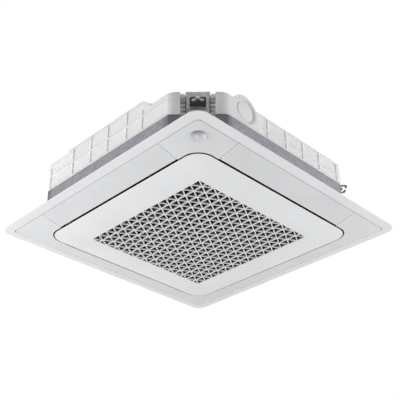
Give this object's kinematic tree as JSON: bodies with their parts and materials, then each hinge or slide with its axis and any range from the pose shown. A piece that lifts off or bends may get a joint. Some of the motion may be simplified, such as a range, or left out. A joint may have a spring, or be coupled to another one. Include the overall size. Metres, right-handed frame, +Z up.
{
  "type": "ceiling cassette air conditioner",
  "caption": "Square ceiling cassette unit: foam-insulated body with a turbo fan and ring coil above a panel with a latticed intake grille, side louvres and corner covers.",
  "frame": {"origin": "under the middle of the intake grille, on its lowest face, which is also the middle of the bounding box's bottom", "axes": "+Z up, towards the ceiling void; front is -Y and left is -X; the panel's rim meets the ceiling at z = 35 mm"},
  "size_m": [0.95, 0.95, 0.25],
  "materials": {
    "panel_white": "satin moulded white",
    "cover_white": "fine-textured white",
    "louvre_white": "fine-textured white",
    "grille_white": "satin moulded white",
    "grille_hardware": "plain",
    "sensor_lens": "smooth",
    "filter_plastic": "plain",
    "filter_net": "woven net",
    "foam_white": "beaded foam",
    "pan_foam": "foam with a moulded skin",
    "galvanised": "galvanised sheet",
    "screw_steel": "zinc plated",
    "seal_foam": "foam strip",
    "grey_plastic": "plain",
    "fan_plastic": "plain",
    "motor_black": "satin",
    "small_motor": "plain",
    "rubber_black": "matte",
    "fins": "fine fins",
    "copper": "drawn tube",
    "nut_brass": "machined",
    "box_paint": "satin",
    "board_green": "solder mask",
    "terminal_black": "plain",
    "float_white": "plain",
    "sensor_black": "potted bulb"
  },
  "bodies": {
    "unit": {"panel_frame": "panel_white", "corner_cover_front_left": "cover_white", "corner_cover_front_right": "cover_white", "corner_cover_back_left": "cover_white", "corner_cover_back_right": "cover_white", "grille_hinge_hooks": "grille_hardware", "sensor_cap": "sensor_lens", "body_shell": "foam_white", "fresh_air_knockout": "foam_white", "drain_pan": "pan_foam", "base_band": "galvanised", "top_plate": "galvanised", "hanger_bracket_front_left": "galvanised", "hanger_bracket_front_right": "galvanised", "hanger_bracket_back_left": "galvanised", "hanger_bracket_back_right": "galvanised", "coil_end_plate": "galvanised", "pipe_cover": "galvanised", "panel_screws": "screw_steel", "bracket_screws": "screw_steel", "bell_mouth_screws": "screw_steel", "panel_seal": "seal_foam", "bell_mouth": "grey_plastic", "louvre_bushes": "grey_plastic", "drain_outlet": "grey_plastic", "fan_motor": "motor_black", "drain_pump": "motor_black", "louvre_motor_front": "small_motor", "louvre_motor_back": "small_motor", "louvre_motor_left": "small_motor", "louvre_motor_right": "small_motor", "motor_grommets": "rubber_black", "drain_hose": "rubber_black", "coil_fins": "fins", "coil_tubes": "copper", "gas_pipe": "copper", "liquid_pipe": "copper", "gas_flare_union": "nut_brass", "liquid_flare_union": "nut_brass", "control_box": "box_paint", "control_box_cover": "box_paint", "main_board": "board_green", "terminal_block": "terminal_black", "float_switch": "float_white", "room_sensor": "sensor_black"},
    "fan": {"turbo_fan": "fan_plastic", "motor_shaft": "screw_steel", "fan_nut": "screw_steel"},
    "louvre_front": {"louvre_front": "louvre_white"},
    "louvre_back": {"louvre_back": "louvre_white"},
    "louvre_left": {"louvre_left": "louvre_white"},
    "louvre_right": {"louvre_right": "louvre_white"},
    "grille": {"intake_grille": "grille_white", "filter_frame": "filter_plastic", "filter_mesh": "filter_net"},
    "latch_front": {"grille_latch_front": "grille_hardware"},
    "latch_back": {"grille_latch_back": "grille_hardware"},
    "impeller": {"pump_impeller": "float_white"},
    "float": {"switch_float": "float_white"}
  },
  "joints": [
    {"name": "fan_spin", "type": "hinge", "parent": "unit", "child": "fan", "pos_m": [0, 0, 0.16], "axis": [0, 0, 1], "continuous": true},
    {"name": "louvre_right_tilt", "type": "hinge", "parent": "unit", "child": "louvre_right", "pos_m": [0.3785, 0, 0.03], "axis": [0, 1, 0], "range_deg": [0, 55]},
    {"name": "louvre_back_tilt", "type": "hinge", "parent": "unit", "child": "louvre_back", "pos_m": [0, 0.3785, 0.03], "axis": [-1, 0, 0], "range_deg": [0, 55]},
    {"name": "louvre_left_tilt", "type": "hinge", "parent": "unit", "child": "louvre_left", "pos_m": [-0.3785, 0, 0.03], "axis": [0, -1, 0], "range_deg": [0, 55]},
    {"name": "louvre_front_tilt", "type": "hinge", "parent": "unit", "child": "louvre_front", "pos_m": [0, -0.3785, 0.03], "axis": [1, 0, 0], "range_deg": [0, 55]},
    {"name": "grille_hinge", "type": "hinge", "parent": "unit", "child": "grille", "pos_m": [0.3575, 0, 0.012], "axis": [0, -1, 0], "range_deg": [0, 90]},
    {"name": "latch_front_slide", "type": "slide", "parent": "grille", "child": "latch_front", "axis": [1, 0, 0], "range_m": [0, 0.012], "stiffness_N_per_m": 120, "springref_m": -0.005},
    {"name": "latch_back_slide", "type": "slide", "parent": "grille", "child": "latch_back", "axis": [1, 0, 0], "range_m": [0, 0.012], "stiffness_N_per_m": 120, "springref_m": -0.005},
    {"name": "impeller_spin", "type": "hinge", "parent": "unit", "child": "impeller", "pos_m": [0.28991, 0.28991, 0.0606], "axis": [0, 0, 1], "continuous": true},
    {"name": "float_lift", "type": "slide", "parent": "unit", "child": "float", "axis": [0, 0, 1], "range_m": [0, 0.02]}
  ]
}
